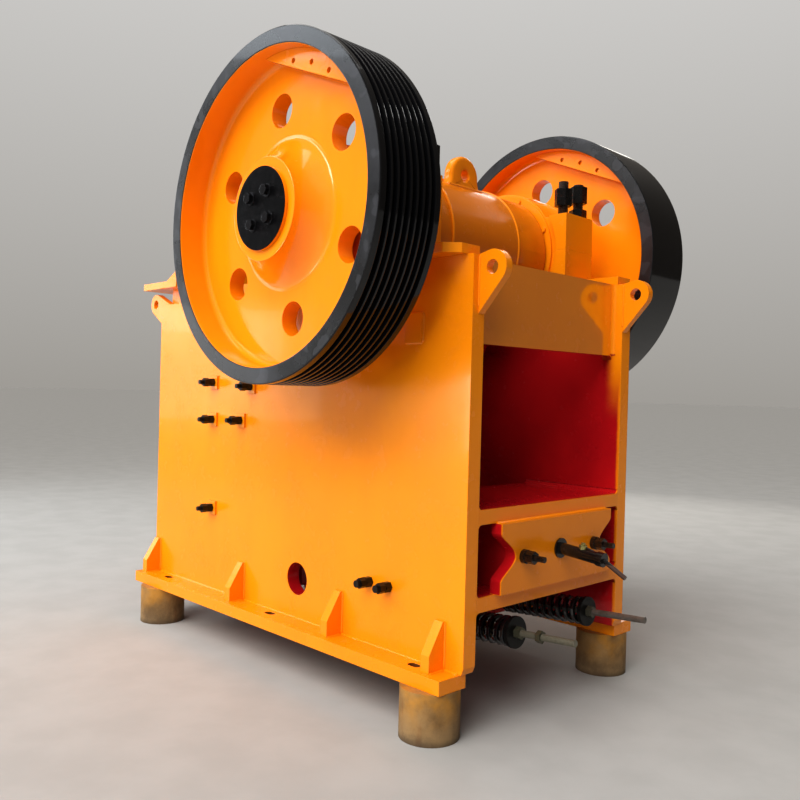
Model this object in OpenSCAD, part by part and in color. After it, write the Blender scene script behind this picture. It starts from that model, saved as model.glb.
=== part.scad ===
// Single toggle jaw crusher, standing on four short round steel stands.
// Lengths are in millimetres. Inside place() x runs from 0 at the rear edge of the side plates
// towards the feed end at minus x, y is 0 in the middle of the body, with the belt pulley on
// the near side at minus y, and z is 0 at the underside of the base flanges.

/* [Body] */
// Length of the side plates
body_l = 2800; // [2500:10:3200]
// Width over the outer faces of the side plates
body_w = 1320; // [1240:10:1500]
// Thickness of the side plates
side_t = 80; // [60:2:100]
// Height of the side plates' top edge above the underside of the flanges
side_top = 1933; // [1850:1:2050]
// Drop of the top edge at the feed end
feed_drop = 68; // [20:1:100]
// Diameter of the round access hole low in the side plates
access_d = 176; // [100:2:220]
// Radius of the rounded corners of the rear openings
corner_r = 22; // [10:1:40]

/* [Base] */
// Height of the round stands
stand_h = 230; // [150:5:300]
// Diameter of the round stands
stand_d = 278; // [200:2:300]
// Thickness of the base flanges
flange_t = 65; // [40:1:80]
// How far the base flanges stand out from the side plates
flange_out = 131; // [110:1:160]
// Height of the gussets over the flange
gusset_h = 220; // [150:5:260]
// Thickness of the gussets
gusset_t = 52; // [30:2:60]
// Width of the anchor slots
slot_w = 42; // [30:1:50]
// Length of the anchor slots
slot_l = 70; // [55:1:90]
// Distance of the last anchor slots from the feed end
slot_end = 278; // [240:1:320]

/* [Rear box] */
// Thickness of the two cross shelves
shelf_t = 68; // [50:2:80]
// Height of the upper shelf's top face
upper_shelf_z = 793; // [750:1:850]
// Height of the lower shelf's top face
lower_shelf_z = 397; // [350:1:430]
// Depth of the shelves from the rear edge
shelf_depth = 620; // [560:10:700]
// Thickness of the rear top panel
panel_t = 60; // [40:2:80]
// Recess of the rear top panel from the rear edge
panel_recess = 60; // [30:5:90]
// Height of the rear top panel
panel_h = 390; // [300:5:450]
// Thickness of the notched seat plate
notch_t = 65; // [50:1:80]
// Half width of the notched seat plate
notch_w = 456; // [430:2:520]
// Half width of the notched seat plate between its notches
notch_in = 350; // [350:1:400]
// Half width of the adjusting seat's rear block
seat_half = 345; // [335:1:355]

/* [Crushing chamber] */
// Thickness of the front wall
front_t = 80; // [60:2:100]
// Depth of the front wall's ribs
front_rib_d = 160; // [120:5:180]
// Thickness of the jaw plates over their teeth
jaw_t = 130; // [100:2:150]
// Depth of the jaw teeth
tooth_d = 45; // [30:1:55]
// Number of teeth across a jaw plate
tooth_n = 11; // [9:1:13]
// Gap between the jaws at the top
gape = 900; // [800:10:950]
// Gap between the jaws at the bottom
discharge = 140; // [100:5:200]
// Thickness of the cheek plates
cheek_t = 50; // [30:1:60]
// How far the cheek plates reach behind the swing jaw's face
cheek_over = 176; // [120:1:190]

/* [Eccentric drive] */
// Distance of the shaft axis from the rear edge
shaft_back = 839; // [800:1:880]
// Height of the shaft axis above the underside of the flanges
shaft_z = 2151; // [2120:1:2200]
// Throw of the eccentric
throw = 16; // [12:1:20]
// Diameter of the main journals
journal_d = 280; // [240:2:300]
// Diameter of the eccentric journal
eccentric_d = 340; // [330:2:360]
// Diameter of the wheel seats
seat_d = 240; // [200:2:260]
// Running gap round the journals
journal_gap = 0.1; // [0.05:0.01:0.1]
// Direction of the counterweights, measured upwards from the rear
weight_dir = 67; // [0:1:90]

/* [Wheels] */
// Diameter of the pulley and the flywheel
wheel_d = 1640; // [1500:10:1700]
// Width of the wheel rims
rim_w = 355; // [330:1:380]
// Thickness of the wheel rims
rim_t = 80; // [60:2:100]
// Thickness of the wheel webs
web_t = 85; // [60:1:100]
// Distance of the web from the rim's inner side
web_in = 118; // [90:1:130]
// Number of belt grooves
groove_n = 8; // [6:1:8]
// Pitch of the belt grooves
groove_pitch = 37; // [34:1:38]
// Depth of the belt grooves
groove_d = 28; // [20:1:30]
// Diameter of the six web holes
web_hole_d = 164; // [120:2:180]
// Radius of the circle of web holes
web_hole_r = 508; // [480:1:520]
// Distance of the pulley rim from the near side plate
pulley_gap = 197; // [190:1:230]
// Distance of the flywheel rim from the far side plate
flywheel_gap = 263; // [190:1:300]

/* [Bearing housings] */
// Radius of the round part of the housings
housing_r = 386; // [384:2:410]
// Radius of the round recess in the housings' shoulders
recess_r = 430; // [424:2:440]
// Depth of the recess
recess_d = 40; // [20:1:60]
// Half length of the housing block
housing_l = 500; // [480:2:520]
// Width of the housings
housing_w = 265; // [240:1:270]
// How far the housings reach inside the side plates
housing_in = 64; // [50:1:68]
// Thickness of the foot plates on the side plates
foot_t = 44; // [30:1:60]
// Height of the housings' square shoulders above the shaft axis
shoulder_h = 207; // [180:1:230]
// Diameter of the housings' cap studs
stud_d = 56; // [40:1:60]

/* [Tension rods] */
// Diameter of the tension rods
rod_d = 32; // [26:1:36]
// Outer diameter of the springs
spring_d = 146; // [130:1:150]
// Diameter of the spring wire
wire_d = 30; // [18:1:30]
// Length of the springs
spring_l = 525; // [500:5:580]
// Turns of each spring
spring_turns = 11; // [9:1:12]

/* [Hidden] */
$fn = 96;
fit = 0.3;
in_y = body_w / 2 - side_t;
out_y = body_w / 2;
lip_out = 265;
lip_in = 186;
handle_reach = 405;
front_reach = body_l + lip_out;
rear_x = (front_reach - handle_reach) / 2;
mid_y = (pulley_gap - flywheel_gap) / 2;
shaft_x = -shaft_back;
ecc_x = shaft_x - throw * cos(weight_dir);
ecc_z = shaft_z - throw * sin(weight_dir);
feed_top = side_top - feed_drop;
corner_cut = [12, 30];
access = [-1216, 280];
block_at = [-411, 1547];
block_size = [112, 138];
block_t = 14;
pad_w = 84;
bolt_in = [330, 83, 330, 80, 340];
bolt_z = [1345, 1325, 1116, 1122, 569];
cheek_bolt = [27, 98];
cheek_nut = [46, 34];
guide_x = [-625, -488];
guide_drop = 24;
guide_bolt = [36, 92];
guide_nut = [46, 36];
seat_sleeve = [66, 22];
seat_nut = [54, 44];
seat_bolt = [28, 121];
pad_t = 12;
front_wall_x = -body_l + front_rib_d;
fixed_face_x = front_wall_x + front_t + jaw_t;
jaw_top_z = feed_top - 15;
jaw_low_z = flange_t + 165;
jaw_half = in_y - cheek_t;
swing_half = jaw_half - 10;
face_top = [fixed_face_x + gape, jaw_top_z];
face_low = [fixed_face_x + discharge, jaw_low_z];
jaw_len = norm(face_top - face_low);
jaw_lean = atan2(face_top[0] - face_low[0], face_top[1] - face_low[1]);
down = (face_low - face_top) / jaw_len;
back = [-down[1], down[0]];
clamp_h = 70;
slab_t = 150;
rib_w = 40;
drum_r = 366;
drum_half = 276;
barrel_r = 358;
cover_t = 12;
cover_r = 380;
outer_cover_r = 300;
outer_cover_t = 15;
bolt_head = 9;
housing_y = in_y - housing_in;
bed_half = housing_y - 24;
barrel_half = housing_y + recess_d - cover_t - 16;
toggle_r = 40;
toggle_t = 64;
toggle_half = 450;
toggle_play = throw + 6;
seat_z = (lower_shelf_z + upper_shelf_z - shelf_t) / 2;
seat_face_x = -420;
seat_front_d = 130;
notch_back = -28;
notch_face = notch_back + notch_t;
toe = [900, 170];
pocket = face_low + toe;
toggle_front = pocket + throw * [cos(weight_dir), sin(weight_dir)];
toggle_rear = [seat_face_x, seat_z];
pin_off = [-51, -305];
pin_at = pocket + pin_off;
pin_r = 20;
pin_gap = 30;
pin_ear = 26;
pin_head = 6;
rod_y = 300;
rod_end = [-6, 197];
rod_l = norm(rod_end - pin_at);
rod_tilt = atan2(rod_end[1] - pin_at[1], rod_end[0] - pin_at[0]);
rod_tip = 346;
lock_nut_at = 143;
seat_bolt_y = 293;
washer_r = 75;
washer_t = 20;
foot_l = 804;
foot_out = 102;
foot_cut = 60;
block_top = shaft_z + shoulder_h;
stud_x = 447;
stud_y = [40, 190];
nut_h = 48;
hub_play = 21;
hub_r = 243;
hub_foot_r = 370;
hub_drop = 14;
cap_r = 195;
cap_t = 18;
hub_start = housing_y + housing_w + outer_cover_t + hub_play;
weight_h = 100;
weight_w = [82, 60];
weight_cut = 28;
weight_hole_in = 44;
weight_hole_r = 13;
gusset_d = 100;
gusset_low = 80;
gusset_x = [-body_l + 38, -1750, -855, -140];
slot_x = -250;
slot_pitch = (body_l + slot_x - slot_end) / 2;
slot_out = 52;
stand_x = [-155, -body_l + 189];
stand_out = 44;
lug_t = 42;
lug_r = 78;
lug_hole_r = 32;
rear_lug = [74, side_top - 62];
front_lug_r = 70;
front_lug_hole_r = 30;
front_lug = [-body_l - 154, feed_top + 16];
eye_r = 112;
eye_t = 66;
eye_hole_r = 32;
eye_hole_drop = 108;
eye_x = shaft_x + 121;
eye_top = shaft_z + 470;
eye_foot = shaft_z + 300;
paint = "#f59a1c";
red = "#a01020";
black = "#1a1a1c";
steel = "#8c8c88";

// Moves a piece from the body's own origin to the floor frame
module place() {
    translate([rear_x, mid_y, stand_h]) children();
}

// Builds a piece on the far side and its mirror image on the near side
module both_sides() {
    children();
    mirror([0, 1, 0]) children();
}

// Extrudes an outline drawn in x and z from y0 to y1
module across(y0, y1) {
    translate([0, y1, 0]) rotate([90, 0, 0]) linear_extrude(y1 - y0) children();
}

// A round bar along y
module round_y(x, z, r, y0, y1) {
    translate([x, y1, z]) rotate([90, 0, 0]) cylinder(h = y1 - y0, r = r);
}

// A round bar along x
module round_x(x0, x1, y, z, r) {
    translate([x0, y, z]) rotate([0, 90, 0]) cylinder(h = x1 - x0, r = r);
}

// Outline of a side plate
module side_outline() {
    slope_x = foot_l - shaft_x + 257;
    polygon([[0, flange_t + corner_cut[1]], [0, side_top], [-slope_x, side_top],
        [-slope_x - 150, feed_top], [-body_l, feed_top], [-body_l, flange_t],
        [-corner_cut[0], flange_t]]);
}

// A side plate with its access hole, a small welded pad and the seat of its bearing housing
module side_plate() {
    difference() {
        across(in_y, out_y) side_outline();
        round_y(access[0], access[1], access_d / 2, in_y - 1, out_y + 1);
        round_y(shaft_x, shaft_z, housing_r + fit, in_y - 1, out_y + 1);
    }
    translate([block_at[0], out_y, block_at[1]]) cube([block_size[0], block_t, block_size[1]]);
}

module near_side_plate() {
    color(paint) place() mirror([0, 1, 0]) side_plate();
}

module far_side_plate() {
    color(paint) place() side_plate();
}

// Wall behind the fixed jaw, between the side plates
module front_wall() {
    color(paint) place() translate([front_wall_x, -in_y, flange_t])
        cube([front_t, 2 * in_y, feed_top - flange_t]);
}

// Grid of ribs on the outside of the front wall
module front_ribs() {
    rows = 5;
    columns = 4;
    h = feed_top - flange_t;
    color(paint) place() translate([-body_l, 0, flange_t]) {
        for (i = [0:rows - 1])
            translate([0, -in_y, i * (h - rib_w) / (rows - 1)])
                cube([front_rib_d, 2 * in_y, rib_w]);
        for (i = [1:columns - 1])
            translate([0, -in_y + i * 2 * in_y / columns - rib_w / 2, 0])
                cube([front_rib_d, rib_w, h]);
    }
}

// Box over the front wall with the forward lip, its upstand and three gussets
module feed_lip() {
    lip_z = feed_top + 115;
    lip_t = 45;
    lip_x = -body_l + lip_in;
    box_t = 40;
    up_h = 90;
    up_t = 20;
    gusset_run = 109;
    color(paint) place() {
        translate([-body_l, -in_y, feed_top]) difference() {
            cube([lip_in, 2 * in_y, lip_z - feed_top]);
            translate([box_t, box_t, -1])
                cube([lip_in - 2 * box_t, 2 * (in_y - box_t), lip_z - feed_top + 1]);
        }
        translate([-front_reach, -out_y, lip_z]) cube([lip_x + front_reach, body_w, lip_t]);
        translate([lip_x - up_t, -out_y, lip_z + lip_t]) cube([up_t, body_w, up_h]);
        for (y = [-out_y, -rib_w / 2, out_y - rib_w])
            across(y, y + rib_w) translate([lip_x - up_t, lip_z + lip_t])
                polygon([[0, 0], [0, gusset_run / 2], [-gusset_run, 0]]);
    }
}

// Concave corner strips on both sides, above (up = 1) or below (up = -1) a face at height z
module corner_strips(x0, x1, z, up) {
    both_sides() translate([x0, in_y, z]) rotate([90, 0, 90]) linear_extrude(x1 - x0)
        mirror([1, 0]) scale([1, up]) difference() {
            square(corner_r);
            translate([corner_r, corner_r]) circle(r = corner_r);
        }
}

module rear_top_panel() {
    color(paint) place() {
        translate([-panel_recess - panel_t, -in_y, side_top - panel_h])
            cube([panel_t, 2 * in_y, panel_h]);
        corner_strips(-panel_recess - panel_t, -panel_recess, side_top - panel_h, -1);
    }
}

// A cross shelf with the rounded corners of the openings next to it
module shelf(top_z) {
    translate([-shelf_depth, -in_y, top_z - shelf_t]) cube([shelf_depth, 2 * in_y, shelf_t]);
    corner_strips(-shelf_depth, 0, top_z, 1);
    corner_strips(-shelf_depth, 0, top_z - shelf_t, -1);
}

module upper_shelf() {
    color(paint) place() shelf(upper_shelf_z);
}

module lower_shelf() {
    color(paint) place() shelf(lower_shelf_z);
}

// Thick plate between the shelves, with a smooth waist on each side
module notched_plate() {
    z0 = lower_shelf_z;
    z1 = upper_shelf_z - shelf_t;
    low = 60;
    high = 49;
    steps = 24;
    waist = [for (i = [0:steps])
        [notch_w - (notch_w - notch_in) * pow(sin(180 * i / steps), 1.5),
            z0 + low + (z1 - z0 - low - high) * i / steps]];
    color(paint) place() both_sides() translate([notch_back, 0, 0]) rotate([90, 0, 90])
        linear_extrude(notch_t) polygon(concat([[0, z0], [notch_w, z0]], waist, [[notch_w, z1], [0, z1]]));
}

// One base flange with its three anchor slots
module base_flange() {
    inner = in_y + 37;
    difference() {
        translate([-body_l - 28, inner, 0]) cube([body_l + 7, out_y + flange_out - inner, flange_t]);
        for (i = [0:2])
            translate([slot_x - i * slot_pitch, out_y + slot_out, -1]) linear_extrude(flange_t + 2) {
                translate([-(slot_l - slot_w) / 2, -slot_w / 2]) square([slot_l - slot_w, slot_w]);
                for (s = [-1, 1]) translate([s * (slot_l - slot_w) / 2, 0]) circle(d = slot_w);
            }
    }
}

module near_base_flange() {
    color(paint) place() mirror([0, 1, 0]) base_flange();
}

module far_base_flange() {
    color(paint) place() base_flange();
}

// The four gussets between one side plate and its flange
module gussets() {
    for (x = gusset_x)
        translate([x - gusset_t / 2, out_y, flange_t]) rotate([90, 0, 90]) linear_extrude(gusset_t)
            polygon([[0, 0], [gusset_d, 0], [gusset_d, gusset_low], [15, gusset_h], [0, gusset_h]]);
}

module near_gussets() {
    color(paint) place() mirror([0, 1, 0]) gussets();
}

module far_gussets() {
    color(paint) place() gussets();
}

module stands() {
    color(steel) place() both_sides() for (x = stand_x)
        translate([x, out_y + stand_out, -stand_h]) cylinder(h = stand_h, d = stand_d);
}

// The solid of a housing: the round part, and the shoulders with their recess on the inner side
module housing_solid() {
    low = side_top + foot_t;
    round_y(shaft_x, shaft_z, housing_r, housing_y + recess_d, housing_y + housing_w);
    difference() {
        translate([shaft_x - housing_l, housing_y, low])
            cube([2 * housing_l, housing_w, block_top - low]);
        round_y(shaft_x, shaft_z, recess_r, housing_y - 1, housing_y + recess_d);
    }
}

// Half of a housing, from height z0 to z1, with the main bearing's bore
module housing_half(z0, z1) {
    difference() {
        intersection() {
            housing_solid();
            translate([shaft_x - 2 * housing_l, 0, z0]) cube([4 * housing_l, body_w, z1 - z0]);
        }
        round_y(shaft_x, shaft_z, journal_d / 2 + journal_gap, 0, body_w);
    }
}

// Lower half of a housing with its foot plate on the side plate
module bearing_base() {
    housing_half(shaft_z - 2 * housing_r, shaft_z);
    difference() {
        translate([shaft_x, in_y, side_top]) linear_extrude(foot_t) polygon([
            [-foot_l, 0], [foot_l, 0], [foot_l, side_t + foot_out - foot_cut],
            [foot_l - foot_cut, side_t + foot_out], [foot_cut - foot_l, side_t + foot_out],
            [-foot_l, side_t + foot_out - foot_cut]]);
        round_y(shaft_x, shaft_z, housing_r - 10, 0, body_w);
    }
}

module near_bearing_base() {
    color(paint) place() mirror([0, 1, 0]) bearing_base();
}

module far_bearing_base() {
    color(paint) place() bearing_base();
}

module near_bearing_cap() {
    color(paint) place() mirror([0, 1, 0]) housing_half(shaft_z, shaft_z + 2 * housing_r);
}

module far_bearing_cap() {
    color(paint) place() housing_half(shaft_z, shaft_z + 2 * housing_r);
}

// A hexagon nut or head standing on the xy plane
module hexagon(across_flats, h) {
    cylinder(h = h, d = across_flats / cos(30), $fn = 6);
}

// A bearing cover between y0 and y1 with a ring of eight bolt heads on one side
module cover_ring(r, y0, y1, bolt_r, bolt_y) {
    difference() {
        round_y(shaft_x, shaft_z, r, y0, y1);
        round_y(shaft_x, shaft_z, journal_d / 2 + journal_gap, y0 - 1, y1 + 1);
    }
    translate([shaft_x, bolt_y, shaft_z]) rotate([90, 0, 0])
        for (a = [22.5:45:337.5]) rotate([0, 0, a]) translate([bolt_r, 0, 0]) hexagon(30, bolt_head);
}

module bearing_covers() {
    y0 = housing_y + recess_d;
    y1 = housing_y + housing_w;
    color(paint) place() both_sides() {
        cover_ring(cover_r, y0 - cover_t, y0, cover_r - 30, y0 - cover_t);
        cover_ring(outer_cover_r, y1, y1 + outer_cover_t, outer_cover_r - 35,
            y1 + outer_cover_t + bolt_head);
    }
}

// Studs that hold the caps down, two through each shoulder, with the nuts left as in use
module cap_studs() {
    top = [187, 196];
    raised = [47, 86];
    color(black) place() both_sides() for (s = [-1, 1], k = [0, 1])
        translate([shaft_x + s * stud_x, housing_y + stud_y[k], block_top]) {
            cylinder(h = top[k], d = stud_d);
            for (z = concat([raised[k], raised[k] + nut_h + 1], k == 0 ? [] : [0]))
                translate([0, 0, z]) rotate([0, 0, 20 + 70 * k]) hexagon(88, nut_h);
        }
}

// Tangent point on a circle of radius r round c, seen from p, on side s
function tangent(c, r, p, s) = let (
    d = p - c,
    a = atan2(d[1], d[0]) + s * acos(r / norm(d))) c + r * [cos(a), sin(a)];

// A drilled lug with its eye at c, drawn up to the plate between p and q
module lug(c, r, hole_r, p, q, s) {
    across(in_y, in_y + lug_t) difference() {
        union() {
            translate(c) circle(r = r);
            polygon([p, tangent(c, r, p, s), c, tangent(c, r, q, -s), q]);
        }
        translate(c) circle(r = hole_r);
    }
}

module lifting_lugs() {
    color(paint) place() both_sides() difference() {
        union() {
            lug(rear_lug, lug_r, lug_hole_r, [0, side_top - 264], [0, side_top], 1);
            lug(front_lug, front_lug_r, front_lug_hole_r, [-body_l, feed_top - 163],
                [-body_l + 60, feed_top], -1);
        }
        across(0, out_y) side_outline();
    }
}

// Distance of the swing jaw's face from the rear edge at height z
function face_x(z) = face_low[0]
    + (z - face_low[1]) * (face_top[0] - face_low[0]) / (face_top[1] - face_low[1]);

// Upper and lower wear plates on one side of the chamber
module cheek_plates() {
    split = 876;
    seam = 8;
    low = jaw_low_z + 104;
    for (z = [[low, split - seam / 2], [split + seam / 2, jaw_top_z]])
        across(jaw_half, in_y) polygon([[fixed_face_x, z[0]], [fixed_face_x, z[1]],
            [face_x(z[1]) + cheek_over, z[1]], [face_x(z[0]) + cheek_over, z[0]]]);
}

module near_cheek_plates() {
    color(steel) place() mirror([0, 1, 0]) cheek_plates();
}

module far_cheek_plates() {
    color(steel) place() cheek_plates();
}

// Puts a piece at each cheek plate bolt on the far side, with z pointing out of the plate
module at_cheek_bolts() {
    for (i = [0:4])
        translate([(i == 1 || i == 3 ? face_x(bolt_z[i]) : fixed_face_x) + bolt_in[i], out_y, bolt_z[i]])
            rotate([-90, 0, 0]) children();
}

// A bolt's end with its nut and lock nut, each given as size and length
module locked_bolt(bolt, nut) {
    cylinder(h = bolt[1], d = bolt[0]);
    hexagon(nut[0], nut[1]);
    translate([0, 0, nut[1] + 2]) rotate([0, 0, 25]) hexagon(nut[0], nut[1]);
}

// Bolts of the cheek plates and of the lower shelf, on the outer faces
module cheek_bolts() {
    color(black) place() both_sides() {
        at_cheek_bolts() translate([0, 0, pad_t]) locked_bolt(cheek_bolt, cheek_nut);
        for (x = guide_x)
            translate([x, out_y, lower_shelf_z - guide_drop]) rotate([-90, 0, 0])
                locked_bolt(guide_bolt, guide_nut);
    }
}

module bolt_pads() {
    color(paint) place() both_sides() at_cheek_bolts()
        translate([-pad_w / 2, -pad_w / 2, 0]) cube([pad_w, pad_w, pad_t]);
}

// Outline of a jaw plate across its width, with its back at x = 0 and rounded teeth at +x
module tooth_outline(half) {
    pitch = 2 * half / tooth_n;
    root = jaw_t - tooth_d;
    steps = 8;
    wave = [for (i = [0:steps * tooth_n])
        [root + tooth_d * pow((1 - cos(360 * i / steps)) / 2, 0.8), -half + pitch * i / steps]];
    polygon(concat([[0, -half]], wave, [[0, half]]));
}

module fixed_jaw() {
    color(steel) place() translate([front_wall_x + front_t, 0, jaw_low_z])
        linear_extrude(jaw_top_z - jaw_low_z) tooth_outline(jaw_half - fit);
}

// Places a piece on the swing jaw's face line: local x to the rear, local z up the face
module on_swing_face() {
    translate([face_low[0], 0, face_low[1]]) rotate([0, jaw_lean, 0]) children();
}

module swing_jaw() {
    color(steel) place() on_swing_face() translate([jaw_t - fit, 0, 0]) mirror([1, 0, 0])
        linear_extrude(jaw_len) tooth_outline(swing_half);
}

// Bar that holds the top of the swing jaw on the pitman, with its six bolt heads
module jaw_clamp() {
    color(steel) place() on_swing_face() translate([20, -swing_half, jaw_len + fit]) {
        cube([jaw_t - 20 - fit, 2 * swing_half, clamp_h]);
        for (i = [0.5:1:5.5])
            translate([0, i * swing_half / 3, clamp_h / 2]) rotate([0, -90, 0]) hexagon(46, 16);
    }
}

// Outline of the pitman's jaw bed and the neck that joins it to the drum
module bed_outline() {
    a = face_top + jaw_t * back;
    b = face_low + jaw_t * back;
    c = b + slab_t * back;
    polygon([a - clamp_h * down, a, b, c, pocket + [0, -210], pocket + [0, -150],
        c - 120 * down, a + slab_t * back, [ecc_x + 105, ecc_z - 346], [ecc_x, ecc_z],
        [ecc_x - 305, ecc_z + 174]]);
}

// Outline of the pitman's vertical ribs
module rib_outline() {
    a = face_top + (jaw_t + slab_t - 2) * back;
    b = face_low + (jaw_t + slab_t - 2) * back;
    polygon([a, b, pocket + [-2, -212], pocket + [-2, 160], pocket + [210, 700],
        [ecc_x + 86, ecc_z - 336]]);
}

// Two ears under the pitman that hold the pin of one tension rod
module pin_ears() {
    difference() {
        for (y = [rod_y - pin_gap - pin_ear, rod_y + pin_gap])
            across(y, y + pin_ear) translate(pocket)
                polygon([[-170, -240], [0, -205], [0, -330], [-28, -348], [-70, -352], [-105, -330]]);
        round_y(pin_at[0], pin_at[1], pin_r + journal_gap, 0, in_y);
    }
}

// Moving beam between the eccentric and the toggle plate, with ribs behind its jaw bed
module pitman() {
    ribs = 5;
    rib_step = (2 * bed_half - rib_w) / (ribs - 1);
    color(red) place() difference() {
        union() {
            round_y(ecc_x, ecc_z, barrel_r, -barrel_half, barrel_half);
            round_y(ecc_x, ecc_z, drum_r, -drum_half, drum_half);
            across(-bed_half, bed_half) bed_outline();
            for (i = [0:ribs - 1])
                across(-bed_half + i * rib_step, -bed_half + i * rib_step + rib_w)
                    rib_outline();
            translate([pocket[0] - 130, -bed_half, pocket[1] - 110])
                cube([130, 2 * bed_half, 220]);
            both_sides() pin_ears();
        }
        round_y(ecc_x, ecc_z, eccentric_d / 2 + journal_gap, -in_y, in_y);
        round_y(pocket[0], pocket[1], toggle_r + toggle_play, -toggle_half - 10, toggle_half + 10);
    }
}

// Lifting eye over the pitman's drum, with a flared foot
module pitman_eye() {
    flare = 28;
    c = eye_top - eye_r;
    color(paint) place() difference() {
        translate([eye_x, 0, 0]) rotate([90, 0, 90]) linear_extrude(eye_t) difference() {
            union() {
                translate([0, c]) circle(r = eye_r);
                translate([-eye_r, c - eye_r]) square([2 * eye_r, eye_r]);
                polygon([[-eye_r - flare, c - eye_r], [eye_r + flare, c - eye_r],
                    [eye_r + flare, eye_foot], [eye_r + 8, eye_foot + 10], [eye_r, eye_foot + flare],
                    [-eye_r, eye_foot + flare], [-eye_r - 8, eye_foot + 10],
                    [-eye_r - flare, eye_foot]]);
            }
            translate([0, eye_top - eye_hole_drop]) circle(r = eye_hole_r);
        }
        round_y(ecc_x, ecc_z, drum_r, -drum_half, drum_half);
    }
}

// Shaft with its eccentric middle, two main journals and the two wheel seats
module eccentric_shaft() {
    near_end = out_y + pulley_gap + rim_w - hub_drop;
    far_end = out_y + flywheel_gap + rim_w - hub_drop;
    journal_end = housing_y + housing_w + outer_cover_t + 4;
    color(steel) place() {
        round_y(ecc_x, ecc_z, eccentric_d / 2, -barrel_half, barrel_half);
        round_y(shaft_x, shaft_z, journal_d / 2, -journal_end, journal_end);
        round_y(shaft_x, shaft_z, seat_d / 2, -near_end, far_end);
    }
}

// Half section of a wheel: radius along x, and along y the distance from the rim's inner side
module wheel_section(gap, grooves) {
    r = wheel_d / 2;
    ri = r - rim_t;
    soft = 27;
    edge = 5;
    hub_in = hub_start - out_y - gap;
    web_out = web_in + web_t;
    hub_out = rim_w - hub_drop;
    steps = 8;
    outer_cove = [for (i = [0:steps])
        [hub_foot_r - (hub_foot_r - hub_r) * sin(90 * i / steps),
            hub_out - (hub_out - web_out) * cos(90 * i / steps)]];
    inner_cove = [for (i = [0:steps])
        [hub_r + 80 * (1 - cos(90 * i / steps)), web_in - 90 + 90 * sin(90 * i / steps)]];
    rim_fillet = [for (a = [0:22.5:90]) [ri - soft + soft * sin(a), web_in - soft + soft * cos(a)]];
    rim_fillet_out = [for (a = [0:22.5:90])
        [ri - soft + soft * cos(a), web_out + soft - soft * sin(a)]];
    difference() {
        polygon(concat([[seat_d / 2, hub_in], [hub_r, hub_in]], inner_cove, rim_fillet,
            [[ri, edge], [ri + edge, 0], [r - edge, 0], [r, edge], [r, rim_w - edge],
                [r - edge, rim_w], [ri + edge, rim_w], [ri, rim_w - edge]],
            rim_fillet_out, outer_cove, [[seat_d / 2, hub_out]]));
        if (grooves)
            for (i = [0:groove_n - 1])
                translate([r, rim_w / 2 + (i - (groove_n - 1) / 2) * groove_pitch])
                    polygon([[1, -14], [-groove_d, -8], [-groove_d, 8], [1, 14]]);
    }
}

// A wheel on the shaft axis with its six web holes, on the far side of the body
module wheel(gap, grooves) {
    translate([shaft_x, out_y + gap, shaft_z]) rotate([-90, 0, 0]) difference() {
        rotate_extrude($fn = 180) wheel_section(gap, grooves);
        for (k = [0:5]) rotate([0, 0, -weight_dir + 30 + 60 * k])
            translate([web_hole_r, 0, 0]) cylinder(h = rim_w, d = web_hole_d);
    }
}

module belt_pulley() {
    color(black) place() mirror([0, 1, 0]) wheel(pulley_gap, true);
}

module flywheel() {
    color(black) place() wheel(flywheel_gap, false);
}

// Round cover plate on a shaft end, held by four bolts
module hub_cap(gap) {
    translate([shaft_x, out_y + gap + rim_w - hub_drop, shaft_z]) rotate([-90, 0, 0]) {
        cylinder(h = cap_t, r = cap_r);
        for (a = [-weight_dir + 13:90:-weight_dir + 283])
            rotate([0, 0, a]) translate([92, 0, cap_t]) {
                cylinder(h = 5, d = 62);
                translate([0, 0, 5]) hexagon(46, 22);
            }
    }
}

module hub_caps() {
    color(black) place() {
        hub_cap(flywheel_gap);
        mirror([0, 1, 0]) hub_cap(pulley_gap);
    }
}

// Drilled segment bolted into a rim, from y0 to y1 past the side plate, with the edge at its
// rim chamfered on the open side (out = 1) or on the web side (out = 0)
module weight(y0, y1, out) {
    r = wheel_d / 2 - rim_t - fit;
    chord = r - weight_h;
    hole_at = chord + weight_hole_in;
    cut = weight_cut;
    w = y1 - y0;
    profile = out > 0
        ? [[chord - 5, 0], [r - cut, 0], [r, cut], [r, w], [chord - 5, w]]
        : [[chord - 5, 0], [r, 0], [r, w - cut], [r - cut, w], [chord - 5, w]];
    translate([shaft_x, 0, shaft_z]) rotate([0, -weight_dir, 0]) difference() {
        intersection() {
            rotate([-90, 0, 0]) translate([0, 0, y0]) rotate_extrude($fn = 180) polygon(profile);
            translate([chord, y0 - 1, -r]) cube([r, w + 2, 2 * r]);
        }
        for (a = [-12, 0, 12]) rotate([0, a, 0]) translate([hole_at, y1 + 1, 0]) rotate([90, 0, 0])
            cylinder(h = w + 2, r = weight_hole_r);
    }
}

module pulley_weight() {
    y0 = out_y + pulley_gap + web_in + web_t + fit / 3;
    color(paint) place() mirror([0, 1, 0]) weight(y0, y0 + weight_w[0], 1);
}

module flywheel_weight() {
    y1 = out_y + flywheel_gap + web_in - fit / 3;
    color(paint) place() weight(y1 - weight_w[1], y1, 0);
}

// Plate with round ends between the pitman and the adjusting seat
module toggle_plate() {
    run = toggle_rear - toggle_front;
    color(steel) place() across(-toggle_half, toggle_half) {
        translate(toggle_front) circle(r = toggle_r);
        translate(toggle_rear) circle(r = toggle_r);
        translate(toggle_front) rotate(atan2(run[1], run[0])) translate([0, -toggle_t / 2])
            square([norm(run), toggle_t]);
    }
}

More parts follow.
